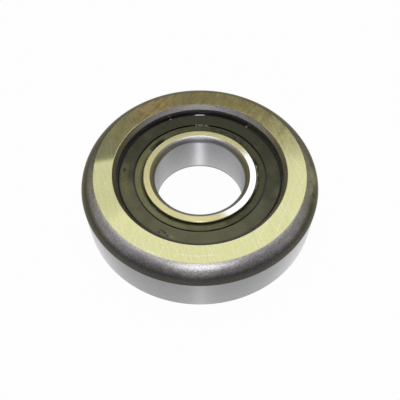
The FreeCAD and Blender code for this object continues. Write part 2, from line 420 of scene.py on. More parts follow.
class Recipe(Tree):
    """One material, written as a sum of patterns on the piece's own coordinates.

    Angles are in degrees from +X about the axis. Radii, reaches and depths are in millimetres.
    """

    def __init__(self, name, metallic=1.0, **constants):
        self.material = bpy.data.materials.new(name)
        self.material.use_nodes = True
        super().__init__(self.material.node_tree)
        self.shader = self.tree.nodes["Principled BSDF"]
        self.set(Metallic=metallic, **constants)

    def set(self, **sockets):
        """Sets the shader's sockets; an underscore in a name stands for a space."""
        for name, value in sockets.items():
            self.feed(self.shader.inputs[name.replace("_", " ")], value)

    def place(self):
        """The point on the piece, in metres."""
        return self.node("ShaderNodeTexCoord", output="Object")

    def axes(self):
        """The point's X, Y and Z as values."""
        split = self.node("ShaderNodeSeparateXYZ", inputs=[self.place()]).socket.node
        return [Wire(self, socket) for socket in split.outputs]

    def noise(self, scale, detail, roughness=0.5, vector=None):
        """Soft noise between 0 and 1, with scale in cycles a metre."""
        vector = vector or self.place()
        inputs = {"Vector": vector, "Scale": scale, "Detail": detail, "Roughness": roughness}
        return self.node("ShaderNodeTexNoise", inputs=inputs, output="Fac")

    def straight_lay(self, angle, across, along, detail):
        """Noise drawn out into straight lines at an angle, in cycles a metre."""
        inputs = {
            "Vector": self.place(),
            "Rotation": (0.0, 0.0, math.radians(angle)),
            "Scale": (1 / along, 1 / across, 1 / along),
        }
        mapping = self.node("ShaderNodeMapping", {"vector_type": "TEXTURE"}, inputs)
        return self.noise(1.0, detail, vector=mapping)

    def ring_lay(self, across, along, detail=2.0):
        """Noise drawn out into circles about the axis: it reads (x / r, y / r) and the radius."""
        x, y, z = self.axes()
        radius = self.radius(x, y)
        inputs = [x / radius * along, y / radius * along, (radius + z) * across]
        return self.noise(1.0, detail, vector=self.node("ShaderNodeCombineXYZ", inputs=inputs))

    def radius(self, x=None, y=None):
        """Distance from the axis, in metres."""
        if x is None:
            x, y, _ = self.axes()
        return (x * x + y * y).maths("SQRT")

    def facing(self, angle):
        """1 on the side of the axis that lies at an angle, and -1 opposite: its cosine."""
        x, y, _ = self.axes()
        angle = math.radians(angle)
        return (x * math.cos(angle) + y * math.sin(angle)) / self.radius(x, y)

    def beside(self):
        """1 on the left and right sides, and 0 in front and at the back."""
        return 1 - self.facing(90).maths("ABSOLUTE").between(0.35, 0.95)

    def patch(self, angle, spread, radius, reach, amount=1.0):
        """An amount on a spot at an angle and radius, fading to 0 at its spread and its reach."""
        outer, inner = math.cos(math.radians(spread)), math.cos(math.radians(spread * 0.4))
        near = self.facing(angle).between(outer, inner)
        off = (self.radius() - radius * MM).maths("ABSOLUTE") / (reach * MM)
        return near * (1 - off).between(0.0, 0.6) * amount

    def patches(self, *spots):
        """A sum of patches."""
        total = self.patch(*spots[0])
        for spot in spots[1:]:
            total = total + self.patch(*spot)
        return total

    def mix(self, share, first, second, blend="MIX"):
        """A colour between two others, or the first multiplied by the second, as far as a share."""
        settings = {"data_type": "RGBA", "blend_type": blend}
        inputs = {"Factor": share, 6: first, 7: second}
        return self.node("ShaderNodeMix", settings, inputs, output=2)

    def aged(self, tint, share):
        """A colour warmed and darkened on a thing's sides: painted shade."""
        return self.mix(share, tint, "aged", "MULTIPLY")

    def shade(self, tint, tone):
        """A colour made lighter or darker by a tone."""
        settings = {"operation": "SCALE"}
        return self.node("ShaderNodeVectorMath", settings, {"Vector": tint, "Scale": tone})

    def bump(self, height, depth):
        """Feeds a height between 0 and 1, worth a depth, to the shader."""
        inputs = {"Distance": depth * MM, "Height": height}
        self.set(Normal=self.node("ShaderNodeBump", inputs=inputs))

    def paint(self, tint, tone, height, depth, **sockets):
        """Sets a colour made lighter or darker by a tone, a bump, and other sockets."""
        self.set(Base_Color=self.shade(tint, tone), **sockets)
        self.bump(height, depth)


# The finish of each kind of stretch in an outline, by the name that the outlines use for it.
FINISHES = {}
# Constants of a surface ground in circles, and of moulded rubber.
GROUND = {"Anisotropic": 1.0, "Anisotropic_Rotation": 0.25}
MOULDED = {"metallic": 0.0, "IOR": 1.5, "Coat_Roughness": 0.22}


def finish(stretch, **constants):
    """Keeps a finish for a kind of stretch. Its material bears the function's name."""

    def keep(fill):
        def made():
            found = bpy.data.materials.get(fill.__name__)
            if found:
                return found
            recipe = Recipe(fill.__name__, **constants)
            fill(recipe)
            return recipe.material

        FINISHES[stretch] = made
        return fill

    return keep


@finish("face")
def oiled_face(recipe):
    """The outer ring's face: ground in straight lines and oiled, browned at the back, with painted
    shade.
    """
    lay = recipe.straight_lay(104, 1000, 2, 2)
    lines = recipe.straight_lay(80, 330, 6, 3)
    crossed = recipe.straight_lay(55, 600, 8, 3)
    scratch = recipe.straight_lay(68, 1100, 28, 1).between(0.6, 0.7)
    scratch = scratch + recipe.straight_lay(118, 1000, 24, 1).between(0.6, 0.7)
    grain = recipe.noise(850, 4, 0.7)
    cloud = recipe.noise(60, 4)
    mottle = recipe.noise(240, 4, 0.6)
    # Browner at the back: partly a stain of old oil, partly a painted reflection of the darker room
    # behind.
    brown = (recipe.facing(92) + recipe.noise(150, 4).swing(0.5)).between(0.0, 0.8)
    ruddy = recipe.patch(121, 17, 47.5, 9) * (mottle + crossed - 0.5).between(0.25, 0.6)
    steel = recipe.mix(brown, "face", "face_stain")
    steel = recipe.mix(ruddy * 0.5, steel, "face_ruddy")
    rub = recipe.straight_lay(97, 900, 14, 1).between(0.56, 0.68)
    rubbed = rub * recipe.patch(158, 14, 45.5, 6) * 0.45
    arcs = recipe.patches((-91, 12, 48.3, 0.5), (-114, 4, 51.2, 0.9))
    pale = rubbed + arcs * 0.3 + scratch * (0.22 + brown * 0.1)
    steel = recipe.mix(pale.clamped(), steel, "rubbed")
    mark = lay.swing(0.26) + lines.swing(0.1) + grain.swing(0.36)
    stain = brown * (mottle.swing(0.8) + crossed.swing(0.5) + lines.swing(0.4))
    # Painted shade and light by side: darker towards 33 and 194 degrees, lighter towards 157 degrees.
    sides = recipe.patches(
        (33, 30, 47.5, 20, -0.22),
        (194, 26, 47.5, 20, -0.15),
        (157, 26, 47.5, 20, 0.12),
    )
    tone = 0.83 + brown * 0.18 + mark * (0.7 + brown * 0.6)
    tone = tone + (stain + sides) + cloud.swing(0.08) + ruddy * 0.2
    right = recipe.facing(20).between(0.3, 1.0)
    recipe.paint(steel, tone, lay, 0.001, Roughness=0.045 + right * 0.12 + lay * 0.02)


@finish("edge", Roughness=0.3)
def worn_edge(recipe):
    """The edges of the ground face, rubbed bright, and darkened at the back by painted shade."""
    grain = recipe.noise(900, 3)
    # Painted shade: the edge is darkened at the back.
    back = recipe.facing(84).between(0.6, 0.82)
    tone = (0.5 + grain * 0.5) * (1 - back * 0.92)
    recipe.paint("edge", tone, grain, 0.02)


@finish("border", Roughness=0.4)
def rubbed_border(recipe):
    """The line where the corner ends at the tread: rubbed, and brown with oil."""
    grain = recipe.noise(1200, 3)
    recipe.paint("border", 0.6 + grain * 0.8, grain, 0.03)


@finish("corner", Specular_Tint=linear(230, 227, 214))
def hardened_corner(recipe):
    """The large corner: dark scale from hardening, finely pitted, paler towards the face by wear and
    painted light.
    """
    grain = recipe.noise(1350, 4, 0.75)
    cloud = recipe.noise(150, 3)
    height = recipe.axes()[2] / RING_HIGH.z + cloud.swing(0.02)
    # Partly wear and partly a painted highlight: paler towards the face, five times as much in front
    # as at the back.
    paler = 0.2 + recipe.facing(275).between(-0.4, 0.2) * 0.8
    # Painted shade: the sides are warmed and darkened.
    side = 1 - recipe.facing(268).between(0.1, 0.85)
    worn = (height - side * 0.055 + grain.swing(0.03)).between(0.845, 0.99) * paler
    steel = recipe.mix(worn, "scale", "worn_scale")
    steel = recipe.aged(steel, side * 0.7)
    yellowed = recipe.patch(-8, 12, 55.5, 2.5) * cloud.between(0.4, 0.6)
    steel = recipe.mix(yellowed * 0.4, steel, "grease")
    # Painted reflection: the lower part is lighter, save in front.
    low = (1 - height.between(0.77, 0.85)) * (1 - recipe.facing(270).between(0.7, 1.0))
    tone = 1.0 + grain.swing(2.2) + cloud.swing(0.2) + low * 0.3
    recipe.paint(steel, tone.maths("MAXIMUM", 0.4), grain, 0.09, Roughness=0.24 + grain * 0.2)


def ground_in_circles(recipe, tint, roughness, sides, fall):
    """A cylinder ground in circles: a highlight is drawn out far along the axis.

    sides is a painted change of tone on the sides, and fall a painted lightening towards the bottom.
    """
    lay = recipe.ring_lay(2600, 6)
    grain = recipe.noise(1400, 3, 0.7)
    # Painted light: the cylinder is lighter towards the bottom, as if lit from the floor.
    low = 0.5 - recipe.axes()[2] / RING_HIGH.z
    tone = 1.0 + lay.swing(0.2) + grain.swing(0.5) + low * fall
    sheen = roughness - 0.04 + lay * 0.08
    recipe.paint(tint, tone * (1 + sides), lay, 0.003, Roughness=sheen)


@finish("tread", **GROUND)
def ground_tread(recipe):
    """The tread, paler on its two sides: a painted reflection."""
    # Painted reflection: paler on the left and right sides.
    sides = (1 - recipe.facing(267).between(0.5, 0.99)) * 0.68
    ground_in_circles(recipe, "tread", 0.33, sides, 0.35)


@finish("bore", **GROUND)
def ground_bore(recipe):
    """The bore's wall, darker on its two sides: painted shade."""
    # Painted shade: darker on the left and right sides.
    sides = (1 - recipe.facing(90).maths("ABSOLUTE").between(0.05, 0.9)) * -0.2
    ground_in_circles(recipe, "bore", 0.55, sides, 0.4)


@finish("chamfer")
def turned_chamfer(recipe):
    """A turned and blasted chamfer: grey and granular, with painted shade on the sides and in front.
    """
    grain = recipe.noise(1300, 3, 0.7)
    pits = recipe.noise(420, 3).between(0.6, 0.72)
    # Painted shade: warmed and darkened on the sides, and darker again on the left, right and front.
    steel = recipe.aged("turned", recipe.beside())
    chamfer_shade = recipe.facing(172).between(0.7, 0.98) * 0.42
    chamfer_shade = chamfer_shade + recipe.facing(0).between(0.75, 1.0) * 0.3
    chamfer_shade = chamfer_shade + recipe.facing(258).between(0.25, 0.9) * 0.6
    tone = (0.42 + grain * 2.05 - pits * 0.3) * (1 - chamfer_shade)
    recipe.paint(steel, tone, grain, 0.12, Roughness=0.4 + grain * 0.2)


@finish("bore corner")
def bore_corner(recipe):
    """The bore's large corner, with a painted highlight beside the ring's face at the back."""
    grain = recipe.noise(1500, 3, 0.7)
    middle = HUB_HIGH.z / 2
    from_middle = (recipe.axes()[2] - middle).maths("ABSOLUTE") / middle
    # Painted highlight: a bright line at the back, just under the face.
    back = recipe.facing(90).between(0.8, 1.0)
    rubbed = (from_middle + grain.swing(0.02)).between(0.955, 0.995) * back
    steel = recipe.mix(rubbed, "turned", "rubbed_corner")
    # Painted shade: warmed and darkened on the sides.
    steel = recipe.aged(steel, recipe.beside())
    recipe.paint(steel, 0.5 + grain * 1.2, grain, 0.05, Roughness=0.3 + grain * 0.2)


@finish("wall")
def seat_wall(recipe):
    """The rings' walls beside the seals, turned smooth."""
    lay = recipe.ring_lay(4000, 4)
    recipe.paint(linear(192, 192, 194), 0.8 + lay * 0.4, lay, 0.003, Roughness=0.24 + lay * 0.14)


@finish("race")
def honed_race(recipe):
    """A raceway, honed nearly to a mirror."""
    lay = recipe.ring_lay(7000, 3)
    recipe.paint(linear(205, 205, 208), 0.94 + lay * 0.1, lay, 0.001, Roughness=0.06 + lay * 0.08)


@finish("hub", Anisotropic=0.8, Anisotropic_Rotation=0.25)
def hub_face(recipe):
    """The inner ring's face: turned lines and oiled, with a painted highlight along one side and
    painted shade at the back.
    """
    lay = recipe.ring_lay(2600, 8)
    grain = recipe.noise(1500, 3)
    # Painted highlight: near white along the right side, and smoother there.
    highlight_side = (recipe.facing(-16) + recipe.noise(120, 3).swing(0.1)).between(0.56, 0.78)
    steel = recipe.mix(highlight_side, "hub_face", "hub_bright")
    # Painted shade: darker at the back.
    back = recipe.facing(90).between(0.1, 0.95)
    tone = 0.98 + (lay.swing(0.4) + grain.swing(0.3) - back * 0.06) * (1 - highlight_side * 0.6)
    recipe.paint(steel, tone, lay, 0.003, Roughness=(0.29 + lay * 0.1) * (1 - highlight_side * 0.6))


def oiled_rubber(recipe, tint, sheen, sheen_side, smudge, light, dark):
    """Moulded rubber: satin and grained, with an oil film and a painted sheen that is brighter on one
    side, and marks.
    """
    grain = recipe.noise(900, 4, 0.75)
    film = (recipe.facing(sheen_side) * 0.3 + recipe.noise(130, 4)).between(0.3, 0.85)
    # The film also lightens the colour towards one side: a painted sheen, beside the real coat of
    # oil.
    tone = 0.55 + grain.swing(1.3) + smudge.swing(0.4) + film * 0.7 + light
    tone = tone * (1 - dark.clamped() * 0.9)
    wet = {"Roughness": 0.55 - film * 0.12, "Coat_Weight": film * sheen}
    recipe.paint(tint, tone, grain, 0.04, **wet)


@finish("rubber", **MOULDED)
def moulded_rubber(recipe):
    """The seal's flat: smears of old oil on the left, a painted sheen in front, specks, oil from the
    rim, and painted shadow.
    """
    smudge = recipe.noise(420, 3)
    smears_and_sheen = recipe.patch(185, 20, 37.6, 2.6) * (0.3 + smudge * 0.9)
    # Painted sheen: lighter towards the front and left.
    smears_and_sheen = smears_and_sheen + recipe.facing(245).between(0.1, 0.95) * 0.4
    smears_and_sheen = smears_and_sheen + recipe.patch(246, 8, 37.6, 1.6) * smudge
    smears_and_sheen = smears_and_sheen + recipe.patches((250, 1.6, 38.1, 0.7), (245, 1, 36.2, 0.6))
    dirt = recipe.noise(1500, 1).between(0.6, 0.66)
    dirt = dirt * recipe.patches((243, 6, 37.4, 1.9), (188, 12, 37.0, 1.4))
    specks = recipe.patches(
        (175.5, 1.9, 37.8, 1.0),
        (241.6, 1.5, 36.7, 0.6),
        (244.2, 1.4, 37.2, 0.7),
        (240.4, 1.3, 38.2, 0.7),
        (246.8, 1.2, 38.2, 0.7),
    )
    # Oil spread from the rim at the back, and a painted shadow in front under the face's inner edge.
    crept_oil_and_shadow = recipe.patches((62, 54, 40.1, 1.3, 0.8), (262, 60, 40, 1.2, 0.7))
    oiled_rubber(recipe, "rubber", 0.4, 262, smudge, smears_and_sheen, (specks + dirt) * 1.6 + crept_oil_and_shadow)


@finish("lip", **MOULDED)
def lip_rubber(recipe):
    """The seal's lip: strokes of oil at the back on the right, a painted sheen on the left, and
    painted shadow at two places.
    """
    smudge = recipe.noise(420, 3)
    strokes = recipe.ring_lay(1300, 12, 1).between(0.52, 0.6) * recipe.patch(62, 30, 30.4, 2.2)
    # Painted shadow: black where the lip stands off the inner ring, at 138 and 14 degrees.
    black = recipe.patches((138, 11, 29.4, 1.45, 3), (14, 7, 29.2, 1.2))
    # Painted sheen: lighter on the left side.
    light = recipe.facing(190).between(0.3, 1.0) * 0.32 + smudge * 0.1 - strokes * 0.2
    oiled_rubber(recipe, "lip", 0.5, 205, smudge, light, black + strokes * 0.85)


@finish("rim", metallic=0.0, IOR=1.5)
def rim_rubber(recipe):
    """The seal's rim: a wet bead with a painted highlight on the right side, and black with oil
    elsewhere.
    """
    # Painted highlight: the rubber's colour shows only on the right side.
    lit_right = (recipe.facing(24) + recipe.noise(160, 3).swing(0.2)).between(0.78, 0.95)
    tint = recipe.mix(lit_right, linear(20, 20, 18), "lip")
    recipe.set(Base_Color=tint, Roughness=0.25 + lit_right * 0.15)


@finish("oil", metallic=0.0, IOR=1.48, Roughness=0.06)
def dark_oil(recipe):
    """Oil standing in a corner: black and smooth as glass, with painted glints as a few pale specks
    and beads.
    """
    cloud = recipe.noise(500, 2)
    # Painted glints: pale beads in the flex groove at the back, and two pale specks on the rim.
    beads = recipe.noise(1300, 1).between(0.48, 0.6) * recipe.patch(89, 9, 32.6, 1.6)
    specks = recipe.patches((113, 0.8, 40.2, 0.7), (52, 0.8, 40.2, 0.7)) + beads
    black = recipe.shade(linear(16, 16, 15), 0.6 + cloud * 0.8)
    recipe.set(Base_Color=recipe.mix(specks.clamped(), black, linear(200, 200, 205)))
    recipe.bump(cloud, 0.03)


@finish("grease", metallic=0.0, IOR=1.48, Coat_Roughness=0.1)
def soft_grease(recipe):
    """Grease pressed out at the lip: black with wear, and paler and wetter in beads, partly a painted
    highlight.
    """
    # The beads' pale colour is partly the grease and partly a painted highlight.
    right = recipe.facing(-1).between(0.93, 0.98)
    beads = recipe.noise(1000, 1).between(0.47, 0.56) * right + recipe.patch(11, 3, 29, 2)
    beads = beads.clamped()
    tint = recipe.mix(beads, linear(22, 21, 17), "grease")
    recipe.set(Base_Color=tint, Roughness=0.45 - beads * 0.2, Coat_Weight=beads * 0.8)
    recipe.bump(beads, 0.15)


def plain_steel(name, screen, roughness, scale):
    """Bare steel with a faint grain, for the pieces that are sealed in."""
    recipe = Recipe(name)
    grain = recipe.noise(scale, 3)
    sheen = roughness - 0.04 + grain * 0.1
    recipe.paint(linear(*screen), 0.85 + grain * 0.3, grain, 0.004, Roughness=sheen)
    return recipe.material


# Steps of the arcs, the share of a worn edge's width by which it falls, and the seals' facets.
CORNER_STEPS = 40
BORE_CORNER_STEPS = 24
RACE_STEPS = 14
WORN_FALL = 0.4
SEAL_FACETS = 540


def race_half_width(groove, shoulder):
    """Half the width of a raceway where it meets its shoulders."""
    return math.sqrt(groove**2 - (groove - shoulder) ** 2)


def outer_ring_outline(size):
    """The outer ring's section, clockwise from the inner edge of its front face."""
    tread, width = size.roller_radius, size.roller_width
    middle = size.hub_width / 2
    seat = SEAL_LOW.z - middle
    race = size.pitch_radius + size.ball_radius + size.race_clearance
    shoulder = race - size.outer_shoulder
    mouth = shoulder + size.mouth_step
    groove = mouth + size.seal_groove_depth
    rim = seat + size.seal_groove_height
    half = race_half_width(size.outer_groove, size.outer_shoulder)
    worn = size.worn_width
    face_edge, corner_low = tread - size.corner_inset, width - size.corner_drop
    outline = Outline(mouth + size.mouth_chamfer_width + worn, width, size.edge_ease)
    outline.line(face_edge - worn, width, "face")
    outline.line(face_edge, width - worn * WORN_FALL, "edge")
    outline.arc(size.corner_radius, tread, corner_low, "corner", CORNER_STEPS)
    outline.line(tread, corner_low - size.border_width, "border")
    outline.line(tread, size.back_edge, "tread")
    outline.line(tread - size.back_edge, 0, "chamfer")
    outline.line(mouth + size.back_mouth, 0, "face")
    outline.line(mouth, size.back_mouth, "chamfer")
    notch = ((mouth, rim), (groove, rim), (groove, seat), (shoulder, seat))
    outline.run("wall", *((across, middle - away) for across, away in notch))
    outline.line(shoulder, middle - half, "wall")
    outline.arc(size.outer_groove, race, middle, "race", RACE_STEPS, 0.0)
    outline.arc(size.outer_groove, shoulder, middle + half, "race", RACE_STEPS)
    outline.run("wall", *((across, middle + away) for across, away in reversed(notch)))
    outline.line(mouth, width - size.mouth_chamfer_depth, "wall")
    outline.line(mouth + size.mouth_chamfer_width, width - worn, "chamfer")
    return outline.close("edge")


def hub_outline(size):
    """The inner ring's section, from its bore round by the front face and the raceway."""
    width, bore = size.hub_width, size.bore_radius
    middle = width / 2
    race = size.pitch_radius - size.ball_radius - size.race_clearance
    shoulder = size.shoulder_radius
    land = land_radius(size)
    face, edge, step = bore + size.corner_width, size.land_edge, size.land_depth
    half = race_half_width(size.inner_groove, shoulder - race)
    corner = (size.corner_width**2 + size.corner_depth**2) / (2 * size.corner_width)
    outline = Outline(bore, size.corner_depth, size.edge_ease)
    outline.line(bore, width - size.corner_depth, "bore")
    outline.arc(corner, face, width, "bore corner", BORE_CORNER_STEPS)
    outline.run("hub", (land - edge, width), (land, width - edge))
    notch = ((land, step), (shoulder - edge, step), (shoulder, step + edge))
    outline.run("wall", *((across, width - away) for across, away in notch))
    outline.line(shoulder, middle + half, "wall")
    outline.arc(size.inner_groove, race, middle, "race", RACE_STEPS, 0.0)
    outline.arc(size.inner_groove, shoulder, middle - half, "race", RACE_STEPS)
    outline.run("wall", *reversed(notch), (land, edge), (land - edge, 0))
    outline.line(face, 0, "hub")
    outline.arc(corner, bore, size.corner_depth, "bore corner", BORE_CORNER_STEPS)
    # The last corner is the first again.
    outline.corners.pop()
    outline.eases.pop()
    return outline


def mouth_radius(size):
    return SEAL_HIGH.x + size.seal_gap - size.seal_groove_depth


def land_radius(size):
    return size.bore_radius + size.land_wall


# The seal's rim, from the outer ring's mouth in to the seal's flat, in millimetres: how far in from
# the mouth, how far down from the bead's top or the flat, and the finish of the stretch before.
RIM = (
    (0.25, "bead", 0.1, "oil"),
    (0.5, "bead", 0.1, "oil"),
    (0.56, "flat", 0.15, "rim"),
    (0.74, "flat", 0.12, "rim"),
    (0.8, "bead", 0.3, "oil"),
    (1.14, "bead", 0.3, "oil"),
    (1.2, "flat", 0.0, "oil"),
)
RIM_WIDTH = RIM[-1][0] * MM
# The top and the bottom of the lip's edge beside the inner ring, above the seal's seat.
LIP_EDGE_TOP, LIP_EDGE_BOTTOM = 0.8 * MM, 0.3 * MM


def seal_outline(size, flip):
    """A seal's rubber section; flip gives the back one, mirrored about the balls' mid-plane."""
    seat, top = SEAL_LOW.z, SEAL_HIGH.z
    washer_in, washer_out, washer_top = washer_inner_radius(), WASHER_HIGH.x, WASHER_HIGH.z
    bead, mouth = SEAL_HIGH.x, mouth_radius(size)
    bead_top = seat + size.seal_groove_height - size.seal_gap
    lip = land_radius(size) + size.seal_gap
    flat_inner = lip + size.lip_slope
    flat_outer = flat_inner + size.lip_flat
    groove_outer = flat_outer + size.flex_width
    lip_top, groove_bottom = top - size.lip_drop, top - size.flex_depth
    outline = Outline(washer_in, seat, size.rubber_ease)
    outline.run("rubber", (washer_in, washer_top), (washer_out, washer_top), (washer_out, seat))
    outline.run("rubber", (bead, seat), (bead, bead_top))
    levels = {"bead": bead_top, "flat": top}
    for inset, level, drop, kind in RIM:
        outline.line(mouth - inset * MM, levels[level] - drop * MM, kind)
    outline.line(groove_outer, top, "rubber")
    outline.run("oil", (groove_outer, groove_bottom), (flat_outer, groove_bottom))
    outline.line(flat_outer, lip_top, "oil")
    outline.run("lip", (flat_inner, lip_top), (lip, seat + LIP_EDGE_TOP))
    outline.line(lip, seat + LIP_EDGE_BOTTOM, "oil")
    if flip:
        outline.corners = [(radius, size.hub_width - height) for radius, height in outline.corners]
    return outline.close("rubber")


# Where the lip stands off the inner ring: angle, spread of angle, and gap in millimetres.
WIDE_GAPS = (
    (136, 8, 2.1),
    (156, 6, 0.7),
    (184, 9, 0.25),
    (222, 9, 0.7),
    (243, 8, 0.6),
    (268, 12, 0.3),
    (12, 5, 1.3),
    (-2, 5, 0.5),
    (-14, 4, 0.4),
)
# On the right side the lip is ragged too: by how much, and over what spread of angle.
RAGGED_GAP = 0.12 * MM
RAGGED_SPREAD = 34


def bell(degrees, middle, spread):
    """exp(-(d / spread)^2), where d is the angle from the middle, the short way round."""
    return np.exp(-((((degrees - middle + 180) % 360 - 180) / spread) ** 2))


def lip_gap(size):
    """Draws the lip back from the inner ring by a sum of bell curves about the axis.

    On the right side it adds the positive part of sin(0.9 d) sin(0.37 d + 1) + 0.5 sin(1.7 d + 2),
    with d in degrees. The shift is whole at the lip, falls with the square of the share of its
    width that is left, and is 0 where the flat of the lip ends at the flex groove.
    """
    land = land_radius(size)
    reach = size.lip_slope + size.lip_flat

    def warp(angles, radius, height):
        turn = np.degrees(angles)
        shift = np.zeros_like(turn)
        for middle, spread, gap in WIDE_GAPS:
            shift = shift + gap * MM * bell(turn, middle, spread)
        ragged = np.sin(turn * 0.9) * np.sin(turn * 0.37 + 1) + 0.5 * np.sin(turn * 1.7 + 2)
        shift = shift + bell(turn, 0, RAGGED_SPREAD) * np.maximum(ragged, 0) * RAGGED_GAP
        near = np.clip(1 - (radius - land) / reach, 0, 1)
        return radius + shift * near**2, height

    return warp


def washer_inner_radius():
    """The washer's inner edge, read from its own mesh."""
    mesh = frame["nodes"]["front_seal_washer"].data
    points = np.empty(len(mesh.vertices) * 3, np.float32)
    mesh.vertices.foreach_get("co", points)
    points = points.reshape(-1, 3)
    return float(np.hypot(points[:, 0], points[:, 1]).min())


def stands_for(piece, node):
    """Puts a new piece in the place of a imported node, on the same body."""
    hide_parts(node)
    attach(piece, frame["nodes"][node]["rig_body"])


class ROLLER_OT_outer_ring(bpy.types.Operator):
    """Turns the outer ring, which is the wheel"""

    bl_idname = "roller.outer_ring"
    bl_label = "Outer ring"

    def execute(self, context):
        size = context.scene.roller_sizes
        piece = turned("roller_wheel", outer_ring_outline(size), size.facets)
        stands_for(piece, "outer_ring")
        return {"FINISHED"}


class ROLLER_OT_inner_ring(bpy.types.Operator):
    """Turns the inner ring, which sits on the shaft"""

    bl_idname = "roller.inner_ring"
    bl_label = "Inner ring"

    def execute(self, context):
        size = context.scene.roller_sizes
        piece = turned("roller_hub", hub_outline(size), size.facets)
        stands_for(piece, "inner_ring")
        return {"FINISHED"}


class ROLLER_OT_seals(bpy.types.Operator):
    """Moulds the front and back seals"""

    bl_idname = "roller.seals"
    bl_label = "Seals"

    def execute(self, context):
        size = context.scene.roller_sizes
        for node, flip in (("front_seal", False), ("back_seal", True)):
            piece = turned(f"moulded_{node}", seal_outline(size, flip), SEAL_FACETS, lip_gap(size))
            stands_for(piece, node)
        return {"FINISHED"}


# Corners of the soft rings' sections, in millimetres from a point: the oil's from the outer edge of
# the seal's flat, and the grease's from the middle of the trough.
OIL_CORNERS = ((-0.2, -0.06), (-0.2, 0.0), (0.0, 0.175), (0.15, 0.1), (0.15, -0.3), (0.0, -0.3))
OIL_EASE = 0.04 * MM
GREASE_CORNERS = ((-0.24, 0.0), (-0.16, 0.13), (0.0, 0.2), (0.18, 0.14), (0.28, 0.0), (0.0, -0.3))
GREASE_FACETS = 1440
# The grease's middle, out from the inner ring's land and up from the seal's seat.
GREASE_INSET = 0.55 * MM
GREASE_LIFT = 1.3 * MM
# The grease's swell: at the least, at the most, and at the most towards the axis.
LEAST_SWELL, MOST_SWELL, INWARD_SWELL = 0.15, 2.6, 0.9


def soft_outline(corners, radius, height, ease, kind):
    """A small section of one finish around a point."""
    points = [(radius + across * MM, height + up * MM) for across, up in corners]
    return Outline(*points[0], ease).run(kind, *points[1:]).close(kind)


def uneven(size):
    """Swells and thins the grease along its ring, most on the right side and in one bead.

    The swell is 0.55 + 0.12 w + right (0.4 + 0.5 w) + 1.8 bead, where right and bead are bell
    curves at 0 and at 11 degrees and w = sin(0.83 d) + sin(0.61 d + 2) + 0.8 sin(1.93 d + 1),
    with d in degrees.
    """
    middle = land_radius(size) + GREASE_INSET
    height_middle = SEAL_LOW.z + GREASE_LIFT

    def warp(angles, radius, height):
        turn = angles * (180 / np.pi)
        wave = np.sin(turn * 0.83) + np.sin(turn * 0.61 + 2) + 0.8 * np.sin(turn * 1.93 + 1)
        swell = 0.55 + 0.12 * wave + bell(turn, 0, 40) * (0.4 + 0.5 * wave)
        swell = np.clip(swell + 1.8 * bell(turn, 11, 1.3), LEAST_SWELL, MOST_SWELL)
        across = np.where(radius > middle, swell, np.minimum(swell, INWARD_SWELL))
        return middle + (radius - middle) * across, height_middle + (height - height_middle) * swell

    return warp


class ROLLER_OT_old_oil(bpy.types.Operator):
    """Lays the oil at the front seal's rim and the grease at its lip"""

    bl_idname = "roller.old_oil"
    bl_label = "Oil and grease"

    def execute(self, context):
        size = context.scene.roller_sizes
        edge, trough = mouth_radius(size) - RIM_WIDTH, land_radius(size) + GREASE_INSET
        section = soft_outline(OIL_CORNERS, edge, SEAL_HIGH.z, OIL_EASE, "oil")
        oil = turned("rim_oil", section, size.facets)
        section = soft_outline(GREASE_CORNERS, trough, SEAL_LOW.z + GREASE_LIFT, 0.0, "grease")
        grease = turned("lip_grease", section, GREASE_FACETS, uneven(size))
        for piece in (oil, grease):
            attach(piece, frame["nodes"]["front_seal"]["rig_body"])
        return {"FINISHED"}


class ROLLER_OT_sealed_pieces(bpy.types.Operator):
    """Gives the balls, cage, rivets and washers their finishes"""

    bl_idname = "roller.sealed_pieces"
    bl_label = "Balls, cage and washers"

    def execute(self, context):
        steels = {
            "ball": plain_steel("polished_ball", (225, 226, 230), 0.08, 300),
            "cage_rivet": plain_steel("headed_rivet", (178, 176, 172), 0.36, 1500),
            "cage": plain_steel("pressed_ribbon", (168, 165, 158), 0.4, 900),
            "front_seal_washer": plain_steel("pressed_washer", (150, 150, 150), 0.42, 1100),
        }
        steels["back_seal_washer"] = steels["front_seal_washer"]
        for name, node in frame["nodes"].items():
            kinds = [kind for kind in steels if name.startswith(kind)]
            if kinds:
                node.data.materials.clear()
                node.data.materials.append(steels[max(kinds, key=len)])
        return {"FINISHED"}


class RollerStage(bpy.types.PropertyGroup):
    """Where the camera and the lamps stand."""

    focal_pixels: number("Focal length", "In pixels of a 400 pixel frame", 539.0)
    camera_pitch: number(
        "Camera pitch", "How far down the camera looks", math.radians(52.61), subtype="ANGLE"
    )
    camera_distance: length("Camera distance", "From the camera to the face's centre", 0.2641)
    aim_x: number("Aim X", "Pixel column of the front face's centre", 199.85)
    aim_y: number("Aim Y", "Pixel row of the front face's centre", 168.3)
    sky: number("Sky", "Brightness of the plain surroundings", 0.26)


FRAME_PIXELS = 400
SENSOR_WIDTH = 36.0
CLIP_START, CLIP_END = 0.01, 50.0
# The lamps: name, place, what each aims at, width, height, radiance, and its turn about its aim in
# degrees. Without a point to aim at, a lamp aims at the centre of the front face.
LAMPS = (
    ("overhead", (0.0, 0.3, 1.0), (0.0, 0.3, 0.0), 2.0, 1.02, 0.95, 11),
    ("front", (0.008, -0.4, 0.56), None, 0.1, 0.08, 28.0, 0),
    ("front_strip", (0.002, -0.6, 0.2), None, 0.04, 0.2, 7.0, 0),
)
FLOOR_GREY = (0.86, 0.86, 0.86)
FLOOR_GAP = 0.02 * MM
FLOOR_REACH = 3.2
# How much of the floor's own look gives way to plain white in the camera and in reflections.
FLOOR_WHITE = 0.97
WHITE = (1, 1, 1)
BACKDROP_RADIUS = 3.0
BACKDROP_HEIGHT = 1.1
BACKDROP_FACETS = 60
BACKDROP_REACH = math.radians(115)


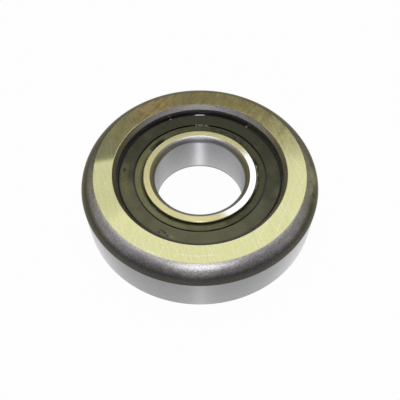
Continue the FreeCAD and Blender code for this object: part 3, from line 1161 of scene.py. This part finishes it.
def make_camera(stage, target):
    """Stands the camera off the target, and turns it until the target lands on its pixel."""
    down, middle = stage.camera_pitch, FRAME_PIXELS / 2
    place = target - stage.camera_distance * Vector((0, math.cos(down), -math.sin(down)))
    tilt = math.atan2(middle - stage.aim_y, stage.focal_pixels)
    turn = math.atan2(stage.aim_x - middle, stage.focal_pixels)
    data = bpy.data.cameras.new("camera")
    data.sensor_width = SENSOR_WIDTH
    data.lens = stage.focal_pixels * SENSOR_WIDTH / FRAME_PIXELS
    data.clip_start, data.clip_end = CLIP_START, CLIP_END
    camera = linked("camera", data)
    tipped = Matrix.Rotation(math.pi / 2 - down - tilt, 4, "X") @ Matrix.Rotation(turn, 4, "Y")
    camera.matrix_world = Matrix.Translation(place) @ tipped
    bpy.context.scene.camera = camera


def make_lamp(name, place, target, width, height, radiance, twist):
    """A soft rectangular lamp aimed at a point. Its power is pi times area times radiance."""
    data = bpy.data.lights.new(name, "AREA")
    data.shape = "RECTANGLE"
    data.size, data.size_y = width, height
    data.energy = math.pi * width * height * radiance
    lamp = linked(name, data)
    lamp.location = place
    aim = (Vector(target) - Vector(place)).to_track_quat("-Z", "Y")
    lamp.rotation_mode = "QUATERNION"
    lamp.rotation_quaternion = aim @ Matrix.Rotation(math.radians(twist), 3, "Z").to_quaternion()


def floor_material():
    """Pale and matt, nearly white to the camera and in reflections, and clear from below."""
    recipe = Recipe("pale_floor", metallic=0.0, Base_Color=FLOOR_GREY, Roughness=0.9)
    camera, glossy, through = [
        recipe.node("ShaderNodeLightPath", output=f"Is {kind} Ray")
        for kind in ("Camera", "Glossy", "Transmission")
    ]
    seen = camera.maths("MAXIMUM", glossy).maths("MAXIMUM", through)
    matt = Wire(recipe, recipe.shader.outputs[0])
    pale = recipe.mixed_shader(seen * FLOOR_WHITE, matt, recipe.node("ShaderNodeEmission"))
    below = recipe.node("ShaderNodeNewGeometry", output="Backfacing")
    clear = recipe.node("ShaderNodeBsdfTransparent")
    recipe.show("Material Output", recipe.mixed_shader(below, pale, clear))
    return recipe.material


def make_floor():
    """A floor, and a low wall round its sides and back."""
    material = floor_material()
    near, far = -FLOOR_REACH, FLOOR_REACH
    corners = np.array([(near, near, 0), (far, near, 0), (far, far, 0), (near, far, 0)])
    corners = corners - (0, 0, FLOOR_GAP)
    floor = surface("floor", corners, np.array([[0, 1, 2, 3]]), [material])
    angles = np.linspace(-BACKDROP_REACH, BACKDROP_REACH, BACKDROP_FACETS + 1) + np.pi / 2
    ring = np.stack((np.cos(angles), np.sin(angles), np.zeros_like(angles)), axis=1)
    ring = BACKDROP_RADIUS * ring
    wall = np.stack((ring, ring + (0, 0, BACKDROP_HEIGHT)), axis=1).reshape(-1, 3)
    low = 2 * np.arange(BACKDROP_FACETS)
    sides = np.stack((low, low + 1, low + 3, low + 2), axis=1)
    surface("backdrop", wall, sides, [material])


def make_world(stage):
    """Plain grey surroundings that show white to the camera."""
    world = bpy.data.worlds.new("plain_room")
    bpy.context.scene.world = world
    world.use_nodes = True
    tree = Tree(world.node_tree)
    seen = tree.node("ShaderNodeLightPath", output="Is Camera Ray")
    room = tree.node("ShaderNodeBackground", inputs=[WHITE, stage.sky])
    white = tree.node("ShaderNodeBackground", inputs=[WHITE])
    tree.show("World Output", tree.mixed_shader(seen, room, white))


class ROLLER_OT_stage(bpy.types.Operator):
    """Sets up the floor, the lamps and the camera"""

    bl_idname = "roller.stage"
    bl_label = "Stage"

    def execute(self, context):
        stage = context.scene.roller_stage
        target = Vector((0, 0, context.scene.roller_sizes.roller_width))
        context.scene.view_settings.view_transform = "Standard"
        make_world(stage)
        make_floor()
        for name, place, aim, *shape in LAMPS:
            make_lamp(name, place, aim or target, *shape)
        make_camera(stage, target)
        return {"FINISHED"}


class ROLLER_PT_panel(bpy.types.Panel):
    """Lists the roller's pieces"""

    bl_idname = "ROLLER_PT_panel"
    bl_label = "Mast roller"
    bl_space_type = "VIEW_3D"
    bl_region_type = "UI"
    bl_category = "Roller"

    def draw(self, context):
        for maker in PIECES:
            self.layout.operator(maker.bl_idname)
        for holder, group in GROUPS.items():
            for name in group.__annotations__:
                self.layout.prop(getattr(context.scene, holder), name)


GROUPS = {"roller_sizes": RollerSizes, "roller_finish": RollerFinish, "roller_stage": RollerStage}
PIECES = (
    ROLLER_OT_outer_ring,
    ROLLER_OT_inner_ring,
    ROLLER_OT_seals,
    ROLLER_OT_old_oil,
    ROLLER_OT_sealed_pieces,
    ROLLER_OT_stage,
)


def register():
    for each in (*GROUPS.values(), *PIECES, ROLLER_PT_panel):
        bpy.utils.register_class(each)
    for name, group in GROUPS.items():
        setattr(bpy.types.Scene, name, PointerProperty(type=group))


def unregister():
    for name in GROUPS:
        delattr(bpy.types.Scene, name)
    for each in (ROLLER_PT_panel, *reversed(PIECES), *reversed(GROUPS.values())):
        bpy.utils.unregister_class(each)


def main():
    register()
    bpy.ops.roller.outer_ring()
    bpy.ops.roller.inner_ring()
    bpy.ops.roller.seals()
    bpy.ops.roller.old_oil()
    bpy.ops.roller.sealed_pieces()
    bpy.ops.roller.stage()


if __name__ == "__main__":
    main()
